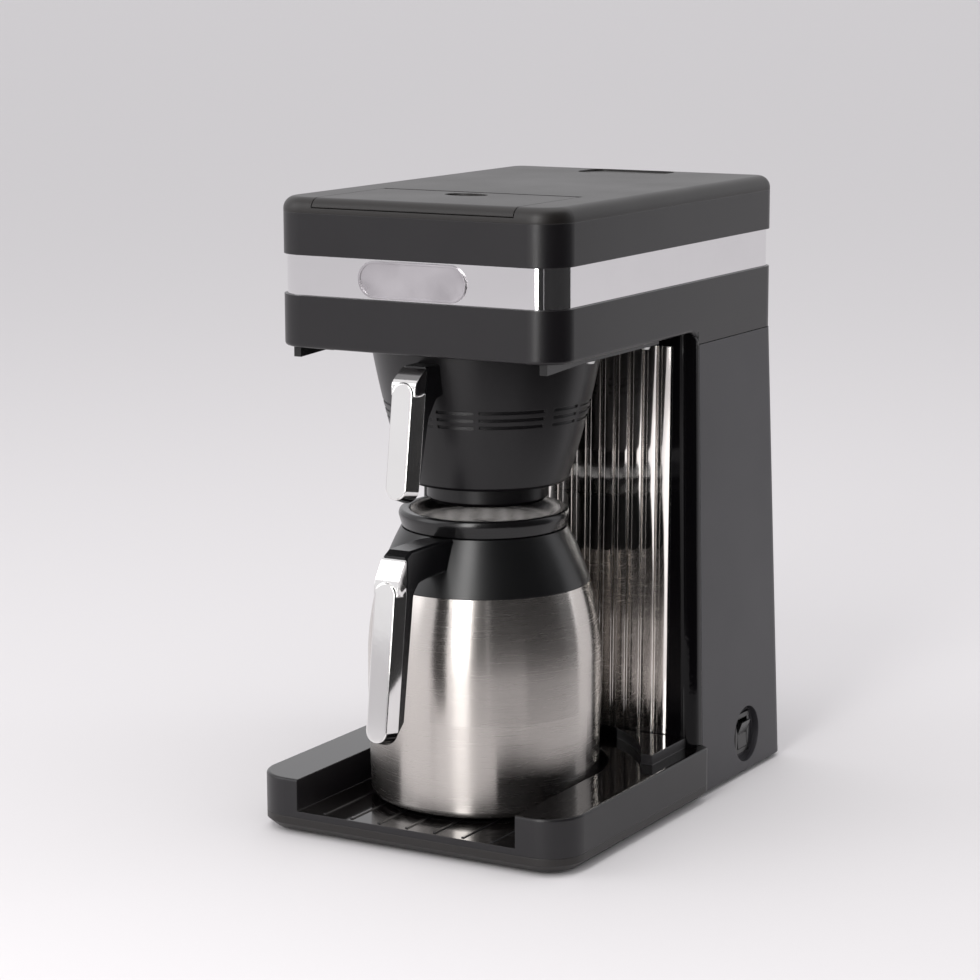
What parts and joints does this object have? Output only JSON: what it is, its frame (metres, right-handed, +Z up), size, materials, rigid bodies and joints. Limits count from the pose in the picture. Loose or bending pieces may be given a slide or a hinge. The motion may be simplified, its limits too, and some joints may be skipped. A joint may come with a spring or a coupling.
{
  "type": "coffee maker",
  "caption": "Drip coffee maker with a tall head on a rear tower, a fluted mirror panel, a pull-out brew funnel and a steel thermal carafe with a long handle.",
  "frame": {"origin": "on the table, under the middle of the whole machine with its carafe in place", "axes": "+Z up, -Y towards the front where the carafe handle points, +X towards the side with the power switch"},
  "size_m": [0.2022, 0.3257, 0.3593],
  "materials": {
    "shell_plastic": "satin textured",
    "cover_plastic": "satin textured",
    "gloss_plastic": "piano gloss",
    "tray_plastic": "gloss top",
    "chrome": "mirror",
    "mirror_panel": "mirror",
    "badge_metal": "brushed with bright rim",
    "carafe_steel": "brushed round",
    "inner_steel": "satin",
    "carafe_plastic": "satin",
    "lid_plastic": "semi gloss",
    "funnel_plastic": "satin",
    "handle_plastic": "semi gloss",
    "rail_plastic": "semi gloss",
    "basin_plastic": "satin",
    "rubber": "matte",
    "silicone": "satin",
    "screw_steel": "zinc plated",
    "heater_metal": "satin",
    "thermostat_metal": "satin",
    "jacket_foam": "felted",
    "wire_cover": "satin",
    "block_plastic": "satin",
    "switch_plastic": "semi gloss"
  },
  "bodies": {
    "root": {"base_plate": "shell_plastic", "rubber_feet": "rubber", "base_screws": "screw_steel", "drip_tray": "tray_plastic", "tower_bezel": "gloss_plastic", "fluted_panel": "mirror_panel", "side_panel_left": "shell_plastic", "side_panel_right": "shell_plastic", "rear_cover": "shell_plastic", "rear_cover_screws": "screw_steel", "cord_bushing": "rubber", "switch_housing": "switch_plastic", "head_lower_shell": "shell_plastic", "chrome_band": "chrome", "badge_plate": "badge_metal", "head_upper_shell": "shell_plastic", "top_cover": "cover_plastic", "funnel_rail_left": "rail_plastic", "funnel_rail_right": "rail_plastic", "rail_screws": "screw_steel", "spray_head": "inner_steel", "spray_tube": "silicone", "water_basin": "basin_plastic", "valve_seat": "silicone", "fill_tube": "silicone", "hot_water_tank": "inner_steel", "tank_lid": "block_plastic", "tank_gasket": "silicone", "heating_element": "heater_metal", "thermostat": "thermostat_metal", "limit_thermostat": "thermostat_metal", "tank_jacket": "jacket_foam", "tank_stand": "inner_steel", "terminal_block": "block_plastic", "wire_leads": "wire_cover", "valve_spring": "inner_steel"},
    "fill_lid": {"fill_lid": "cover_plastic", "hinge_pins": "inner_steel"},
    "basin_valve": {"valve_stem": "inner_steel", "valve_plug": "silicone"},
    "funnel": {"brew_funnel": "funnel_plastic", "funnel_handle": "handle_plastic", "funnel_handle_trim": "chrome"},
    "carafe": {"carafe_shell": "carafe_steel", "carafe_liner": "inner_steel", "carafe_base_pad": "rubber", "carafe_collar": "carafe_plastic", "carafe_handle": "handle_plastic", "carafe_handle_trim": "chrome"},
    "carafe_lid": {"carafe_lid": "lid_plastic", "lid_seal": "silicone", "lid_brew_tube": "carafe_plastic"},
    "power_rocker": {"power_rocker": "switch_plastic"}
  },
  "joints": [
    {"name": "fill_lid_hinge", "type": "hinge", "parent": "root", "child": "fill_lid", "pos_m": [0, -0.04945, 0.3563], "axis": [-1, 0, 0], "range_deg": [0, 95]},
    {"name": "valve_lift", "type": "slide", "parent": "root", "child": "basin_valve", "axis": [0, 0, 1], "range_m": [0, 0.003], "deforming": ["valve_spring"]},
    {"name": "funnel_slide", "type": "slide", "parent": "root", "child": "funnel", "axis": [0, -1, 0], "range_m": [0, 0.16]},
    {"name": "carafe_slide", "type": "slide", "parent": "root", "child": "carafe", "axis": [0, -1, 0], "range_m": [0, 0.165]},
    {"name": "carafe_lid_turn", "type": "hinge", "parent": "carafe", "child": "carafe_lid", "pos_m": [0, -0.04475, 0.1715], "axis": [0, 0, 1], "range_deg": [0, 90]},
    {"name": "rocker_press", "type": "hinge", "parent": "root", "child": "power_rocker", "pos_m": [0.08906, 0.10705, 0.025], "axis": [0, -1, 0], "range_deg": [0, 16]}
  ],
  "couplings": [
    {"joint": "valve_lift", "follows": "fill_lid_hinge", "m_per_rad": 0.0018}
  ]
}
